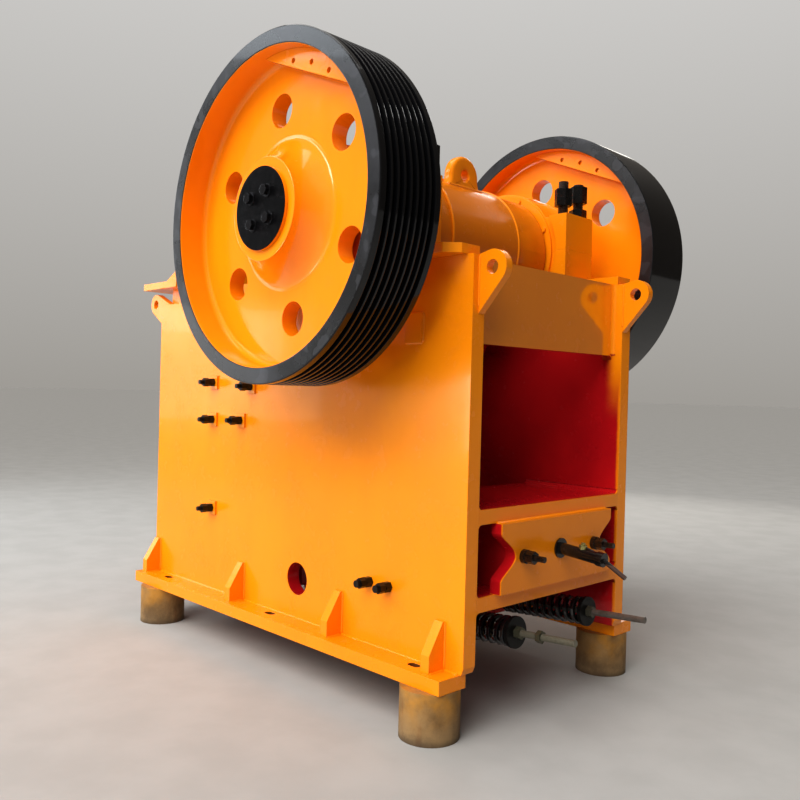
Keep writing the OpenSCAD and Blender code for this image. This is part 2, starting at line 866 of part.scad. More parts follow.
// Block between the shelves that takes the rear end of the toggle plate, narrow at the rear
module adjusting_seat() {
    front = toggle_half + 20;
    z1 = upper_shelf_z - shelf_t - fit;
    color(red) place() difference() {
        translate([0, 0, lower_shelf_z]) linear_extrude(z1 - lower_shelf_z) polygon([
            [seat_face_x, -front], [seat_face_x + seat_front_d, -front],
            [seat_face_x + seat_front_d, -seat_half], [notch_back, -seat_half],
            [notch_back, seat_half], [seat_face_x + seat_front_d, seat_half],
            [seat_face_x + seat_front_d, front], [seat_face_x, front]]);
        round_y(toggle_rear[0], toggle_rear[1], toggle_r + fit, -in_y, in_y);
    }
}

// Two long bolts through the notched plate, with sleeve nuts
module seat_bolts() {
    color(black) place() both_sides() translate([notch_face, seat_bolt_y, seat_z])
        rotate([0, 90, 0]) {
            cylinder(h = seat_sleeve[1], d = seat_sleeve[0]);
            translate([0, 0, seat_sleeve[1]]) hexagon(seat_nut[0], seat_nut[1]);
            cylinder(h = seat_bolt[1], d = seat_bolt[0]);
        }
}

// Hand pump jack that pushes the adjusting seat, with its collar, nipple and lever
module adjusting_jack() {
    tilt = 4.9;
    tube_l = 250;
    lever_d = 22;
    lever_tilt = 28.7;
    lever_at = [240, -20];
    lever_l = (handle_reach - notch_face - lever_at[0] - lever_d / 2 * sin(lever_tilt))
        / cos(lever_tilt);
    color(black) place() translate([notch_face, 0, seat_z + 6]) {
        rotate([0, 90, 0]) cylinder(h = 8, d = 98);
        difference() {
            rotate([0, 90 + tilt, 0]) {
                cylinder(h = tube_l, d = 58);
                translate([0, 0, tube_l - 34]) cylinder(h = 34, d = 68);
                translate([-44, -11, 116]) cube([30, 22, 24]);
                translate([-38, 0, 128]) rotate([0, 12, 0]) cylinder(h = 78, d = 12);
            }
            translate([-100, -100, -100]) cube([100, 200, 200]);
        }
        translate([lever_at[0], 0, lever_at[1]]) rotate([0, 90 + lever_tilt, 0])
            cylinder(h = lever_l, d = lever_d);
    }
}

// Moves to a tension rod's rear washer, with x along the rod to the rear
module on_rod() {
    translate([rod_end[0], rod_y, rod_end[1]]) rotate([0, -rod_tilt, 0]) children();
}

// Plates under the lower shelf in front of the springs
module spring_brackets() {
    plate_t = 40;
    z1 = lower_shelf_z - shelf_t;
    x1 = rod_end[0] - spring_l - wire_d - throw - 20;
    color(paint) place() both_sides() difference() {
        translate([x1 - plate_t, rod_y - 110, 60]) cube([plate_t, 220, z1 - 60]);
        on_rod() translate([-spring_l - 220, 0, 14]) rotate([0, 90, 0])
            cylinder(h = 300, r = rod_d / 2 + throw + 10);
    }
}

// The two rods with their eyes, pins, washers and nuts, and a lock nut on the near one
module tension_rods() {
    color(steel) place() {
        both_sides() on_rod() {
            rotate([0, 90, 0]) {
                translate([0, 0, -rod_l]) cylinder(h = rod_l + rod_tip, d = rod_d);
                cylinder(h = washer_t, r = washer_r);
                translate([0, 0, washer_t]) hexagon(52, 30);
            }
            translate([-rod_l, 0, 0]) rotate([90, 0, 0]) {
                cylinder(h = 2 * pin_gap - 4, r = pin_r + 16, center = true);
                cylinder(h = 2 * (pin_gap + pin_ear + pin_head), r = pin_r, center = true);
            }
        }
        mirror([0, 1, 0]) on_rod() translate([lock_nut_at, 0, 0]) rotate([0, 90, 0]) hexagon(52, 24);
    }
}

// Height of the wire's centre in a spring after u turns, with one closed turn at each end
function coil_z(u) = let (
    dead = wire_d * 1.06,
    top = spring_l - wire_d,
    n = spring_turns)
    wire_d / 2 + (u < 1 ? dead * u : u > n - 1 ? top - dead * (n - u)
        : dead + (u - 1) * (top - 2 * dead) / (n - 2));

// Compression spring round the z axis, swept as rings of points along its helix
module coil() {
    seg = 14;
    sides = 8;
    rings = seg * spring_turns;
    mean_r = (spring_d - wire_d) / 2;
    points = [for (i = [0:rings], k = [0:sides - 1]) let (
        a = 360 * i / seg,
        b = 360 * k / sides,
        r = mean_r + wire_d / 2 * cos(b))
        [r * cos(a), r * sin(a), coil_z(i / seg) + wire_d / 2 * sin(b)]];
    skin = [for (i = [0:rings - 1], k = [0:sides - 1], half = [0, 1]) let (
        p = i * sides + k,
        q = i * sides + (k + 1) % sides)
        half == 0 ? [p, p + sides, q] : [q, p + sides, q + sides]];
    caps = [[for (k = [0:sides - 1]) k],
        [for (k = [sides - 1:-1:0]) rings * sides + k]];
    polyhedron(points, concat(skin, caps));
}

module near_spring() {
    color(black) place() mirror([0, 1, 0]) on_rod() rotate([0, -90, 0]) coil();
}

module far_spring() {
    color(black) place() on_rod() rotate([0, -90, 0]) coil();
}

near_side_plate();
far_side_plate();
front_wall();
front_ribs();
feed_lip();
rear_top_panel();
upper_shelf();
lower_shelf();
notched_plate();
near_base_flange();
far_base_flange();
near_gussets();
far_gussets();
stands();
near_bearing_base();
far_bearing_base();
near_bearing_cap();
far_bearing_cap();
bearing_covers();
cap_studs();
lifting_lugs();
near_cheek_plates();
far_cheek_plates();
cheek_bolts();
bolt_pads();
fixed_jaw();
toggle_plate();
adjusting_seat();
seat_bolts();
adjusting_jack();
spring_brackets();
eccentric_shaft();
belt_pulley();
flywheel();
hub_caps();
pulley_weight();
flywheel_weight();
pitman();
pitman_eye();
swing_jaw();
jaw_clamp();
tension_rods();
near_spring();
far_spring();
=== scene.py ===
import math

import bmesh
import bpy
from mathutils import Matrix, Vector


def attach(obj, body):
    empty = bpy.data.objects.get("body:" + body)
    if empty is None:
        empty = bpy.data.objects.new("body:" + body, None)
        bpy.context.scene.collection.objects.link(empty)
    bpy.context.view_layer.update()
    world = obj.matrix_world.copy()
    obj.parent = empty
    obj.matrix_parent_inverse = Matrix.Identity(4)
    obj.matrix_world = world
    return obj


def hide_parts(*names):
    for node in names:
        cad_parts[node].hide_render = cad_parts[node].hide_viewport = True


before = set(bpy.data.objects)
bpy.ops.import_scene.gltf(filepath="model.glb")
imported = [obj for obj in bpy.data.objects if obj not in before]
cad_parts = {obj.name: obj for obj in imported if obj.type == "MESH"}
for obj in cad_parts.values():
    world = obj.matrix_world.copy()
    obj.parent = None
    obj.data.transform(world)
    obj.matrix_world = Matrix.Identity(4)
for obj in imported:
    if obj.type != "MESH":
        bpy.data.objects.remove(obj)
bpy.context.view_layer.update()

# Places in the frame, in metres. The body's own origin is its rear edge, at the middle of
# its width and the underside of the base flanges.
REAR_X, MID_Y, BASE_Z = 1.330, -0.033, 0.230
SIDE_IN, SIDE_OUT, SIDE_TOP, FEED_TOP = 0.580, 0.660, 1.933, 1.865
PANEL_X, PANEL_LOW = -0.060, 1.543
SHAFT_X, SHAFT_Z = REAR_X - 0.839, BASE_Z + 2.151
ECC_X, ECC_Z = SHAFT_X - 0.00625, SHAFT_Z - 0.01473
DRUM_R, DRUM_HALF = 0.366, 0.276
EYE_FRONT, EYE_REAR = SHAFT_X + 0.121, SHAFT_X + 0.187
RIM_IN_R, RIM_HALF = 0.740, 0.1760
PULLEY_FACE = MID_Y - SIDE_OUT - 0.197 - 0.341
FLYWHEEL_FACE = MID_Y + SIDE_OUT + 0.263 + 0.341
PULLEY_MID = MID_Y - SIDE_OUT - 0.197 - 0.1775
FLYWHEEL_MID = MID_Y + SIDE_OUT + 0.263 + 0.1775
WEIGHT_TURN = math.radians(67.0)
CAP_T = 0.018
STUD_X, STUD_ROWS = 0.447, (0.556, 0.706)
FRONT_WALL_X = REAR_X - 2.637
SLOTS_X, SLOT_OUT = (-0.250, -1.386, -2.522), 0.052
FLANGE_TOP, FLANGE_ENDS = 0.065, (-2.796, -0.032)
GUSSETS_X, GUSSET_HALF = (-2.762, -1.750, -0.855, -0.140), 0.026
PAD_LOW, PAD_HIGH = (-0.411, 1.547), (-0.299, 1.685)
LUG_SIDES = (0.5805, 0.6215)
NOTCH_FACE = REAR_X + 0.037
SEAT_LOW, SEAT_TOP, SEAT_BOLT_Y, SEAT_BOLT_Z = 0.397, 0.725, 0.293, 0.561
ACCESS_X, ACCESS_Z = REAR_X - 1.216, BASE_Z + 0.280
ROD_X, ROD_Y, ROD_Z = REAR_X - 0.006, 0.300, BASE_Z + 0.197
ROD_TILT = math.radians(4.066)
JACK_Z, JACK_TILT = BASE_Z + 0.566, math.radians(4.9)
CHEEK_BOLTS = (
    (-2.100, 1.345),
    (-1.693, 1.325),
    (-2.100, 1.116),
    (-1.792, 1.122),
    (-2.090, 0.569),
)
GUIDE_BOLTS = ((-0.625, 0.373), (-0.488, 0.373))

# Finishes, as linear colours
ORANGE = (0.96, 0.320, 0.004)
ORANGE_DEEP = (0.90, 0.270, 0.003)
# Deeper orange: the colour of nicks, and also painted shade on faces that turn from the light
ORANGE_NICK_AND_SHADE = (0.62, 0.165, 0.004)
RED = (0.56, 0.010, 0.014)
RED_DEEP = (0.38, 0.005, 0.010)
BLACK = (0.0055, 0.0055, 0.0065)
# Grey-blue of the rim faces: partly scuffed paint, partly painted sheen
RIM_WORN_AND_SHEEN = (0.050, 0.051, 0.060)
IRON = (0.135, 0.115, 0.098)
IRON_DARK = (0.045, 0.038, 0.034)
STEEL = (0.42, 0.40, 0.37)
RUST = (0.19, 0.065, 0.022)
BRASS = (0.46, 0.42, 0.17)
STAND = (0.34, 0.225, 0.110)
STAND_DARK = (0.15, 0.100, 0.055)
STAND_SPRAY = (0.66, 0.30, 0.02)
STAND_FOOT = (0.07, 0.050, 0.035)
SLOT_SHADE = (0.055, 0.018, 0.008)
DUST = (0.55, 0.33, 0.12)
THREAD_BRIGHT = (0.27, 0.255, 0.20)
ROD_NEAR, ROD_FAR = (0.155, 0.145, 0.100), (0.21, 0.18, 0.16)
ROD_OIL, ROD_NUT = (0.075, 0.060, 0.042), (0.080, 0.080, 0.050)
WASHER = (0.012, 0.011, 0.010)
LEVER = (0.085, 0.050, 0.040)
BACKDROP_LOW = (0.407, 0.390, 0.364)
BACKDROP = (0.66, 0.65, 0.635)
ROOM_DARK, ROOM_LIGHT = (0.10, 0.085, 0.070), (0.34, 0.33, 0.31)
FLOOR_DARK, FLOOR_LIGHT = (0.41, 0.405, 0.395), (0.44, 0.435, 0.425)


class Num:
    """A number in a material's nodes, so that shader maths is written as Python sums."""

    def __init__(self, shade, socket):
        self.shade = shade
        self.socket = socket

    def math(self, operation, a, b=None):
        values = {0: a} if b is None else {0: a, 1: b}
        return self.shade.node("ShaderNodeMath", {"operation": operation}, values)

    def __add__(self, other):
        return self.math("ADD", self, other)

    __radd__ = __add__

    def __sub__(self, other):
        return self.math("SUBTRACT", self, other)

    def __rsub__(self, other):
        return self.math("SUBTRACT", other, self)

    def __mul__(self, other):
        return self.math("MULTIPLY", self, other)

    __rmul__ = __mul__

    def __abs__(self):
        return self.math("ABSOLUTE", self)

    def __gt__(self, other):
        return self.math("GREATER_THAN", self, other)

    def __lt__(self, other):
        return self.math("LESS_THAN", self, other)

    def least(self, other):
        return self.math("MINIMUM", self, other)

    def most(self, other):
        return self.math("MAXIMUM", self, other)

    def root(self):
        return self.math("SQRT", self)

    def sine(self):
        return self.math("SINE", self)

    def ramp(self, low, high, start=0.0, end=1.0):
        """Goes smoothly from start to end as the number goes from low to high."""
        return self.shade.node(
            "ShaderNodeMapRange",
            {"interpolation_type": "SMOOTHSTEP"},
            {"Value": self, "From Min": low, "From Max": high, "To Min": start, "To Max": end},
        )


class Shade:
    """A material under construction, with its object coordinates as numbers x, y and z."""

    def __init__(self, name):
        self.material = bpy.data.materials.new(name)
        self.material.use_nodes = True
        self.tree = self.material.node_tree
        self.surface = self.tree.nodes["Principled BSDF"]
        self.place = self.node("ShaderNodeTexCoord", {}, {}, "Object")
        split = self.node("ShaderNodeSeparateXYZ", {}, {0: self.place}, None)
        self.x, self.y, self.z = (Num(self, split.outputs[i]) for i in range(3))

    def node(self, kind, settings, values, output=0):
        """Adds a node with its settings and inputs, and returns one output, or the node."""
        made = self.tree.nodes.new(kind)
        for key, value in settings.items():
            setattr(made, key, value)
        for key, value in values.items():
            self.feed(made.inputs[key], value)
        return made if output is None else Num(self, made.outputs[output])

    def feed(self, socket, value):
        """Links a number or sets a constant on a socket."""
        if isinstance(value, Num):
            self.tree.links.new(value.socket, socket)
        elif isinstance(value, tuple) and socket.type == "RGBA":
            socket.default_value = (*value, 1.0)
        else:
            socket.default_value = value

    def noise(self, scale, detail=3.0, rough=0.55, place=None):
        """Noise from 0 to 1, with its scale in cycles a metre."""
        return self.node(
            "ShaderNodeTexNoise",
            {"noise_dimensions": "3D"},
            {"Vector": place or self.place, "Scale": scale, "Detail": detail, "Roughness": rough},
            "Fac",
        )

    def stretched(self, sx, sy, sz):
        """Object coordinates stretched along the axes, for streaks and brush marks."""
        return self.node("ShaderNodeMapping", {}, {"Vector": self.place, "Scale": (sx, sy, sz)})

    def mix(self, factor, a, b):
        """A colour that goes from a to b as the factor goes from 0 to 1."""
        return self.node("ShaderNodeMix", {"data_type": "RGBA"}, {"Factor": factor, 6: a, 7: b}, 2)

    def ripple(self, along, pitch):
        """A thread's relief, from -1 to 1, with its pitch in metres."""
        return (along * (2 * math.pi / pitch)).sine()

    def radius(self, x, z):
        """Distance from an axis along y."""
        dx, dz = self.x - x, self.z - z
        return (dx * dx + dz * dz).root()

    def nearest(self, places):
        """Distance from the nearest of some axes along y, given in the body's own x and z."""
        near = self.radius(REAR_X + places[0][0], BASE_Z + places[0][1])
        for x, z in places[1:]:
            near = near.least(self.radius(REAR_X + x, BASE_Z + z))
        return near

    def finish(
        self, colour, rough, metal=0.0, height=None, depth=0.001, coat=0.0, shine=0.5, soft=0.0
    ):
        """Connects the surface: height is the relief and depth its size in metres, and soft is
        the radius by which edges are rounded."""
        self.feed(self.surface.inputs["Base Color"], colour)
        self.feed(self.surface.inputs["Roughness"], rough)
        self.feed(self.surface.inputs["Metallic"], metal)
        self.surface.inputs["Specular IOR Level"].default_value = shine
        if coat:
            self.surface.inputs["Coat Weight"].default_value = coat
            self.surface.inputs["Coat Roughness"].default_value = 0.05
        bump = {} if height is None else {"Height": height, "Distance": depth}
        if soft:
            edge = self.node("ShaderNodeBevel", {"samples": 4}, {"Radius": soft}, "Normal")
            bump["Normal"] = edge
        if bump:
            normal = self.node("ShaderNodeBump", {}, {"Height": 0.0, **bump}, "Normal")
            self.feed(self.surface.inputs["Normal"], normal)
        return self.material


def enamel(s, colour, deep):
    """Sprayed enamel: colour, roughness and relief, with soft clouds, runs and orange peel."""
    cloud = s.noise(1.6, 3.0, 0.5).ramp(0.30, 0.72)
    mottle = s.noise(11.0, 4.0, 0.6).ramp(0.42, 0.80)
    curtain = s.noise(2.2, 4.0, 0.6, s.stretched(3.0, 3.0, 0.35)).ramp(0.40, 0.78)
    tone = s.mix(cloud * 0.55 + mottle * 0.20 + curtain * 0.25, colour, deep)
    rough = 0.20 + mottle * 0.10 + cloud * 0.05
    relief = s.noise(160.0, 2.0) * 0.04 + s.noise(3.6, 1.0) * 0.9
    return tone, rough, relief


def specks(s, scale, share):
    """Small nicks and drips, 1 where the paint is broken."""
    return s.noise(scale, 2.0, 0.4).ramp(share, share + 0.02)


def orange_paint(name="orange_enamel", soft=0.004, coat=0.20):
    """Orange enamel with a few nicks."""
    s = Shade(name)
    tone, rough, relief = enamel(s, ORANGE, ORANGE_DEEP)
    nick = specks(s, 55.0, 0.775)
    tone = s.mix(nick * 0.8, tone, ORANGE_NICK_AND_SHADE)
    return s.finish(tone, rough + nick * 0.3, 0.0, relief - nick * 0.2, 0.002, coat, 0.30, soft)


def flange_paint():
    """Base flanges: dust in patches on their top faces, and anchor slots darkened inside as painted
    shade.
    """
    s = Shade("flange_enamel")
    tone, rough, relief = enamel(s, ORANGE, ORANGE_DEEP)
    gap = None
    for x in SLOTS_X:
        run = (abs(s.x - (REAR_X + x)) - 0.014).most(0.0)
        gap = run if gap is None else gap.least(run)
    side = abs(abs(s.y - MID_Y) - (SIDE_OUT + SLOT_OUT))
    # Painted shade: the walls of the anchor slots are darkened, as they lie in shade.
    slot = ((gap * gap + side * side).root() < 0.0216) * (s.z < BASE_Z + 0.0635)
    tone = s.mix(slot * 0.92, tone, SLOT_SHADE)
    dust = s.noise(14.0, 5.0, 0.65).ramp(0.50, 0.80) * (s.z > BASE_Z + 0.0640) * 0.16
    tone = s.mix(dust, tone, DUST)
    return s.finish(tone, rough + dust + slot * 0.5, 0.0, relief, 0.002, 0.20, 0.30, 0.005)


def red_paint():
    """Dark red enamel of the inner pieces."""
    s = Shade("red_enamel")
    tone, rough, relief = enamel(s, RED, RED_DEEP)
    return s.finish(tone, rough, 0.0, relief, 0.002, 0.8, 0.5, 0.005)


def two_tone(name, outside, coat=0.20, soft=0.005, dull=0.0):
    """Orange where outside(s) is 1 and red where it is 0, as a frame that is painted inside."""
    s = Shade(name)
    tone, rough, relief = enamel(s, ORANGE, ORANGE_DEEP)
    # Painted shade: the orange goes the share given as dull of the way to the deeper orange.
    tone = s.mix(dull, tone, ORANGE_NICK_AND_SHADE)
    drift = s.noise(1.6, 3.0, 0.5).ramp(0.30, 0.72)
    inner = s.mix(drift, RED, RED_DEEP)
    return s.finish(s.mix(outside(s), inner, tone), rough, 0.0, relief, 0.002, coat, 0.30, soft)


def side_plate_paint(side):
    """Orange outside, on the edges and behind the rear panel, with overspray that fades into
    the red of the inner face and of the access hole."""

    def outside(s):
        depth = (s.y - MID_Y) * side
        hole = (s.radius(ACCESS_X, ACCESS_Z) < 0.0885) * (depth < SIDE_OUT - 0.003)
        edge = (s.x > REAR_X - 0.003).most(s.z > BASE_Z + FEED_TOP - 0.003)
        rough_edge = s.noise(9.0, 3.0) * 0.030
        rear = (s.x + rough_edge).ramp(REAR_X - 0.090, REAR_X - 0.015)
        panel_foot = BASE_Z + PANEL_LOW
        spray = rear * (s.z + rough_edge * 2.0).ramp(panel_foot - 0.34, panel_foot + 0.02)
        lip = (s.x + rough_edge * 0.3).ramp(REAR_X - 0.016, REAR_X - 0.004) * 0.75
        inner = (depth < SIDE_IN + 0.003) * (1 - edge) * (1 - spray.most(lip))
        return 1 - inner.most(hole)

    return two_tone(f"side_plate_{'far' if side > 0 else 'near'}", outside)


def rear_face_paint(name, face_x):
    """Orange on the face that looks to the rear, with a soft edge of spray, red on the rest."""

    def outside(s):
        wander = s.noise(12.0, 3.0) * 0.006
        return (s.x + wander).ramp(face_x - 0.008, face_x - 0.001)

    # Painted shade: the orange goes a fifth of the way to the deeper orange, as these faces look to
    # the rear, away from the light.
    return two_tone(name, outside, dull=0.20)


def notched_plate_paint():
    """Orange on the rear face, the top and the foot, red on the waisted sides."""

    def outside(s):
        face = (s.x + s.noise(12.0, 3.0) * 0.004).ramp(NOTCH_FACE - 0.007, NOTCH_FACE - 0.001)
        ends = (s.z > BASE_Z + SEAT_TOP - 0.002).most(s.z < BASE_Z + SEAT_LOW + 0.002)
        return face.most(ends)

    # Painted shade: the orange goes a quarter of the way to the deeper orange, as the plate looks
    # to the rear, away from the light.
    return two_tone("notched_plate", outside, dull=0.25)


def rear_panel_paint():
    """Rear panel in flat full gloss, which mirrors the lugs beside it."""
    s = Shade("rear_panel")
    tone, rough, relief = enamel(s, ORANGE, ORANGE_DEEP)
    mask = s.x.ramp(REAR_X + PANEL_X - 0.006, REAR_X + PANEL_X - 0.001)
    tone = s.mix(mask, s.mix(s.noise(1.6, 3.0, 0.5).ramp(0.30, 0.72), RED, RED_DEEP), tone)
    s.surface.inputs["Coat IOR"].default_value = 2.5
    # Painted shade: the panel's colour goes three tenths of the way to the deeper orange, as it
    # looks to the rear, away from the light.
    return s.finish(s.mix(0.30, tone, ORANGE_NICK_AND_SHADE), rough, 0.0, relief, 0.0002, 1.0, 0.30)


def wheel_paint(name, mid_y):
    """Orange web, hub and inner rim, glossy black outside, scuffed and duller on the rim's faces,
    whose middle is at mid_y, with grey-blue clouds there, partly scuffs and partly painted sheen."""
    s = Shade(name)
    tone, rough, relief = enamel(s, ORANGE, ORANGE_DEEP)
    r = s.radius(SHAFT_X, SHAFT_Z)
    rim = (r + s.noise(14.0, 3.0) * 0.002).ramp(RIM_IN_R + 0.0025, RIM_IN_R + 0.0035)
    face = (abs(s.y - mid_y) > RIM_HALF) * rim
    cloud = s.noise(3.5, 4.0, 0.60).ramp(0.40, 0.68)
    patch = s.noise(11.0, 2.0, 0.4).ramp(0.57, 0.62)
    scratch = s.noise(3.0, 8.0, 0.75, s.stretched(9.0, 1.0, 9.0)).ramp(0.64, 0.68)
    # The grey-blue clouds on the rim's faces are partly scuffs and partly painted sheen.
    wear_and_sheen = (cloud * 0.40 + patch * 0.35 + scratch * 0.45).least(1.0) * face
    black = s.mix(wear_and_sheen, BLACK, RIM_WORN_AND_SHEEN)
    black_rough = 0.10 + face * 0.16 + wear_and_sheen * 0.12
    mixed_rough = (rough - 0.07) * (1 - rim) + black_rough * rim
    height = relief * (1 - rim) + (s.noise(40.0, 3.0) * 0.05 + wear_and_sheen * 0.12) * rim
    return s.finish(s.mix(rim, tone, black), mixed_rough, 0.0, height, 0.0015, 0.25, 0.40, 0.005)


def cap_paint():
    """Black cover plates with shiny bolts, their rims sprayed orange with the wheel."""
    s = Shade("hub_cap")
    tone_mask = s.noise(30.0, 4.0).ramp(0.45, 0.8)
    black = s.mix(tone_mask, (0.0030, 0.0030, 0.0035), (0.009, 0.008, 0.009))
    out = (PULLEY_FACE - CAP_T - s.y).most(s.y - (FLYWHEEL_FACE + CAP_T))
    face, bolt = out > -0.0015, out > 0.0008
    rough = 0.20 + s.noise(25.0, 4.0) * 0.10 - bolt * 0.10
    tone = s.mix(bolt, s.mix(face, ORANGE, black), (0.045, 0.045, 0.050))
    return s.finish(tone, rough, bolt * 0.85, s.noise(18.0, 3.0), 0.0008, 0.0, 0.08, 0.0035)


def pitman_paint():
    """Orange drum over a red lower beam, with a wandering edge of spray between them."""

    def outside(s):
        return (s.z + s.noise(6.0, 3.0) * 0.05).ramp(BASE_Z + 1.80, BASE_Z + 1.86)

    # Painted shade: the orange goes 65 per cent of the way to the deeper orange, for the shade of
    # the wheels over the drum.
    return two_tone("pitman", outside, 0.2, 0.008, 0.65)


def black_iron(name, brown, glossy, bolt_r, thread_pitch, places):
    """Blackened bolts and nuts with brown oil, threaded where they are thinner than the nuts."""
    s = Shade(name)
    patch = s.noise(34.0, 5.0, 0.65).ramp(0.42, 0.72)
    tone = s.mix(patch * brown, (0.008, 0.0075, 0.0075), (0.050, 0.026, 0.014))
    thread = s.ripple(s.y, thread_pitch) * (s.nearest(places) < bolt_r)
    height = thread * 0.6 + s.noise(140.0, 4.0) * 0.3
    return s.finish(tone, glossy + patch * 0.20, 0.45, height, 0.0009, 0.0, 0.5, 0.002)


def seat_bolt_finish():
    """Sleeve nuts and bolts of the adjusting seat, brown with dried oil."""
    s = Shade("seat_bolts")
    across = abs(s.y - MID_Y) - SEAT_BOLT_Y
    up = s.z - (BASE_Z + SEAT_BOLT_Z)
    bolt = (across * across + up * up).root() < 0.0145
    thread = s.ripple(s.x, 0.0045) * bolt
    patch = s.noise(38.0, 5.0, 0.65).ramp(0.35, 0.70)
    tone = s.mix(patch * 0.8, (0.010, 0.008, 0.007), (0.055, 0.022, 0.010))
    height = thread + s.noise(130.0, 3.0) * 0.2
    return s.finish(tone, 0.16 + patch * 0.20, 0.35, height, 0.0010, 0.3, 0.5, 0.003)


def studs():
    """Cap studs with bare brown threads between black nuts."""
    s = Shade("cap_studs")
    dx = abs(s.x - SHAFT_X) - STUD_X
    row = abs(s.y - MID_Y)
    dy = abs(row - STUD_ROWS[0]).least(abs(row - STUD_ROWS[1]))
    bare = (dx * dx + dy * dy).root() < 0.0285
    thread = s.ripple(s.z, 0.0055) * bare
    patch = s.noise(40.0, 5.0, 0.65).ramp(0.45, 0.7)
    tone = s.mix(patch * 0.4, (0.0065, 0.0065, 0.007), (0.035, 0.020, 0.012))
    tone = s.mix(bare * (0.35 + patch * 0.4), tone, (0.085, 0.045, 0.026))
    height = thread * 0.8 + s.noise(120.0, 3.0) * 0.3
    return s.finish(tone, 0.24 + patch * 0.22, 0.4, height, 0.0010, 0.25, 0.5, 0.0025)


def worn_steel(name, clean, dark, rust, rough=0.42):
    """Machined steel with rust bloom and finger marks."""
    s = Shade(name)
    bloom = s.noise(11.0, 6.0, 0.68).ramp(0.48, 0.75)
    speck = s.noise(95.0, 3.0).ramp(0.55, 0.75)
    turned = s.ripple(s.y, 0.0030)
    tone = s.mix(s.noise(4.0, 3.0).ramp(0.35, 0.7), clean, dark)
    tone = s.mix((bloom * 0.7 + speck * 0.3) * rust, tone, RUST)
    metal = 0.85 - bloom * 0.6
    height = turned * 0.15 + speck * 0.4 + s.noise(60.0, 4.0)
    return s.finish(tone, rough + bloom * 0.3, metal, height, 0.0006, 0.0, 0.5, 0.003)


def jaw_steel():
    """Cast manganese steel: coarse skin, dark scale and rust in the hollows."""
    s = Shade("jaw_steel")
    coarse = s.noise(26.0, 7.0, 0.7)
    tone = s.mix(coarse.ramp(0.35, 0.7), IRON_DARK, IRON)
    tone = s.mix(s.noise(6.0, 5.0, 0.6).ramp(0.5, 0.8) * 0.55, tone, RUST)
    height = coarse + s.noise(150.0, 3.0) * 0.4
    return s.finish(tone, 0.55 + coarse * 0.2, 0.45, height, 0.003, 0.0, 0.5, 0.006)


def rod_steel():
    """Tension rods: threaded towards the rear, with dark washers and dull nuts."""
    s = Shade("tension_rods")
    across = abs(s.y - MID_Y) - ROD_Y
    along = (s.x - ROD_X) * math.cos(ROD_TILT) + (s.z - ROD_Z) * math.sin(ROD_TILT)
    up = (s.z - ROD_Z) * math.cos(ROD_TILT) - (s.x - ROD_X) * math.sin(ROD_TILT)
    r = (across * across + up * up).root()
    fat = r > 0.0168
    washer = fat * (along > -0.001) * (along < 0.0203)
    near = s.y < MID_Y
    threaded = (along > 0.049) * (1 - fat) * near
    thread = s.ripple(along, 0.0070) * threaded
    patch = s.noise(30.0, 5.0, 0.65).ramp(0.4, 0.75)
    bright = s.mix(near, ROD_FAR, ROD_NEAR)
    tone = s.mix(patch * 0.6, bright, ROD_OIL)
    tone = s.mix(threaded * (thread * 0.5 + 0.5), tone, THREAD_BRIGHT)
    tone = s.mix(fat * 0.75, tone, ROD_NUT)
    tone = s.mix(washer, tone, WASHER)
    grain = s.noise(120.0, 3.0) * 0.25
    return s.finish(tone, 0.38 + patch * 0.2, 0.6, thread * 0.8 + grain, 0.0012, 0.0, 0.5, 0.002)


def jack_finish():
    """Dark jack with a brassy nipple on top and a dull steel lever."""
    s = Shade("adjusting_jack")
    along = s.x - NOTCH_FACE
    top = s.z - JACK_Z + along * math.tan(JACK_TILT)
    brass = (top > 0.029) * (along > 0.108) * (along < 0.150)
    lever = (along > 0.262) * (top < -0.012)
    flange = along < 0.0085
    patch = s.noise(26.0, 5.0, 0.6).ramp(0.40, 0.75)
    tone = s.mix(patch * 0.5, (0.010, 0.009, 0.008), (0.040, 0.026, 0.018))
    tone = s.mix(flange, tone, (0.012, 0.009, 0.008))
    tone = s.mix(brass, tone, BRASS)
    tone = s.mix(lever, tone, LEVER)
    rough = 0.15 + patch * 0.16 + lever * 0.15
    return s.finish(tone, rough, 0.30 + brass * 0.5, s.noise(110.0, 3.0), 0.0004, 0.4, 0.5, 0.003)


def spring_finish():
    """Glossy black springs with a little brown oil."""
    s = Shade("spring_black")
    patch = s.noise(45.0, 4.0).ramp(0.5, 0.75)
    tone = s.mix(patch * 0.4, (0.0045, 0.0045, 0.005), (0.022, 0.014, 0.010))
    return s.finish(tone, 0.08 + patch * 0.16, 0.0, s.noise(160.0, 2.0), 0.0003, 0.8, 0.5, 0.004)


def stand_finish():
    """Short stands of old steel, dusty, with orange overspray from the top down."""
    s = Shade("stands")
    cloud = s.noise(7.0, 6.0, 0.65)
    streak = s.noise(6.0, 4.0, 0.6, s.stretched(4.0, 4.0, 0.6))
    tone = s.mix(cloud.ramp(0.3, 0.72), STAND, STAND_DARK)
    tone = s.mix(streak.ramp(0.52, 0.75) * 0.4, tone, RUST)
    spray = s.z.ramp(0.02, 0.22) * (0.35 + s.noise(9.0, 4.0).ramp(0.35, 0.68) * 0.65)
    tone = s.mix(spray * 0.62, tone, STAND_SPRAY)
    # Darker towards the foot, over the lowest 35 mm.
    tone_mask = s.z.ramp(0.0, 0.035, 1.0, 0.0)
    tone = s.mix(tone_mask * 0.6, tone, STAND_FOOT)
    rough = 0.55 + cloud * 0.2
    return s.finish(tone, rough, 0.15, cloud + streak * 0.5, 0.004, 0.0, 0.4, 0.004)


